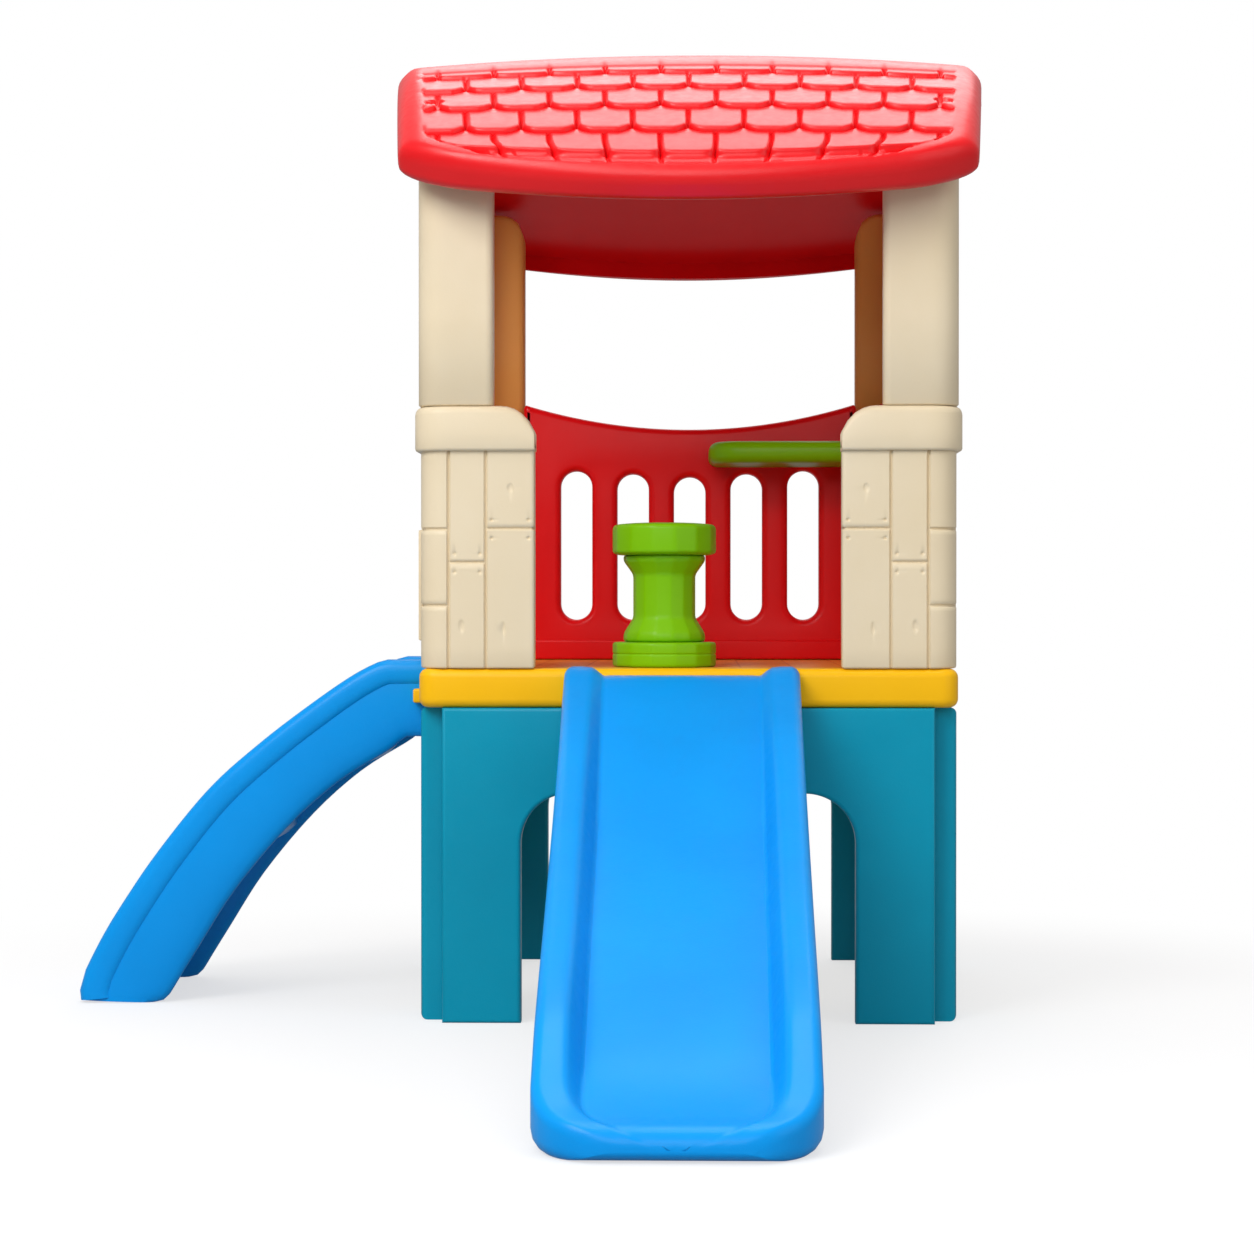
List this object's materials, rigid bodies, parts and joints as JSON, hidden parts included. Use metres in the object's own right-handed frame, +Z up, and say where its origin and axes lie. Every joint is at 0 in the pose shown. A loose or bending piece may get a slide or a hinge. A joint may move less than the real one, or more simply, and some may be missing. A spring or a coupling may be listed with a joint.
{
  "type": "playhouse with slide",
  "caption": "Moulded plastic play tower: arched base, deck, plank-pattern pillars and posts, slotted walls, tiled roof, straight slide, curved step climber, table top and a pedestal stool.",
  "frame": {"origin": "on the floor, at the middle of the floor area that the whole object covers", "axes": "+Z up; the slide runs toward -Y; the climber runs toward -X; the roof's ridge lies along X"},
  "size_m": [1.6302, 2.2902, 1.7156],
  "materials": {
    "teal_plastic": "moulded satin",
    "yellow_plastic": "moulded satin",
    "cream_plastic": "moulded satin",
    "red_plastic": "moulded satin",
    "blue_plastic": "moulded satin",
    "green_plastic": "moulded satin",
    "steel_screw": "zinc plated"
  },
  "bodies": {
    "tower": {"base_front_panel": "teal_plastic", "base_back_panel": "teal_plastic", "base_left_panel": "teal_plastic", "base_right_panel": "teal_plastic", "deck": "yellow_plastic", "front_left_pillar": "cream_plastic", "front_left_post": "cream_plastic", "front_right_pillar": "cream_plastic", "front_right_post": "cream_plastic", "back_left_pillar": "cream_plastic", "back_left_post": "cream_plastic", "back_right_pillar": "cream_plastic", "back_right_post": "cream_plastic", "back_wall": "red_plastic", "right_wall": "red_plastic", "roof_front": "red_plastic", "roof_back": "red_plastic", "slide": "blue_plastic", "climber": "blue_plastic", "table_top": "green_plastic", "front_left_lower_base_screw": "steel_screw", "front_left_upper_base_screw": "steel_screw", "front_right_lower_base_screw": "steel_screw", "front_right_upper_base_screw": "steel_screw", "back_left_lower_base_screw": "steel_screw", "back_left_upper_base_screw": "steel_screw", "back_right_lower_base_screw": "steel_screw", "back_right_upper_base_screw": "steel_screw", "front_left_post_screw": "steel_screw", "front_right_post_screw": "steel_screw", "back_left_post_screw": "steel_screw", "back_right_post_screw": "steel_screw", "back_wall_lower_left_screw": "steel_screw", "back_wall_lower_right_screw": "steel_screw", "right_wall_lower_front_screw": "steel_screw", "right_wall_lower_back_screw": "steel_screw", "back_wall_upper_left_screw": "steel_screw", "back_wall_upper_right_screw": "steel_screw", "right_wall_upper_front_screw": "steel_screw", "right_wall_upper_back_screw": "steel_screw", "front_left_roof_screw": "steel_screw", "front_right_roof_screw": "steel_screw", "back_left_roof_screw": "steel_screw", "back_right_roof_screw": "steel_screw", "left_ridge_screw": "steel_screw", "middle_ridge_screw": "steel_screw", "right_ridge_screw": "steel_screw", "slide_near_screw": "steel_screw", "climber_near_screw": "steel_screw", "slide_far_screw": "steel_screw", "climber_far_screw": "steel_screw", "table_back_left_screw": "steel_screw", "table_back_right_screw": "steel_screw", "table_side_screw": "steel_screw"},
    "stool": {"stool_base": "green_plastic", "stool_column": "green_plastic", "stool_seat": "green_plastic"}
  },
  "joints": [
    {"name": "stool_lift", "type": "slide", "parent": "tower", "child": "stool", "axis": [0, 0, 1], "range_m": [0, 0.3]}
  ]
}
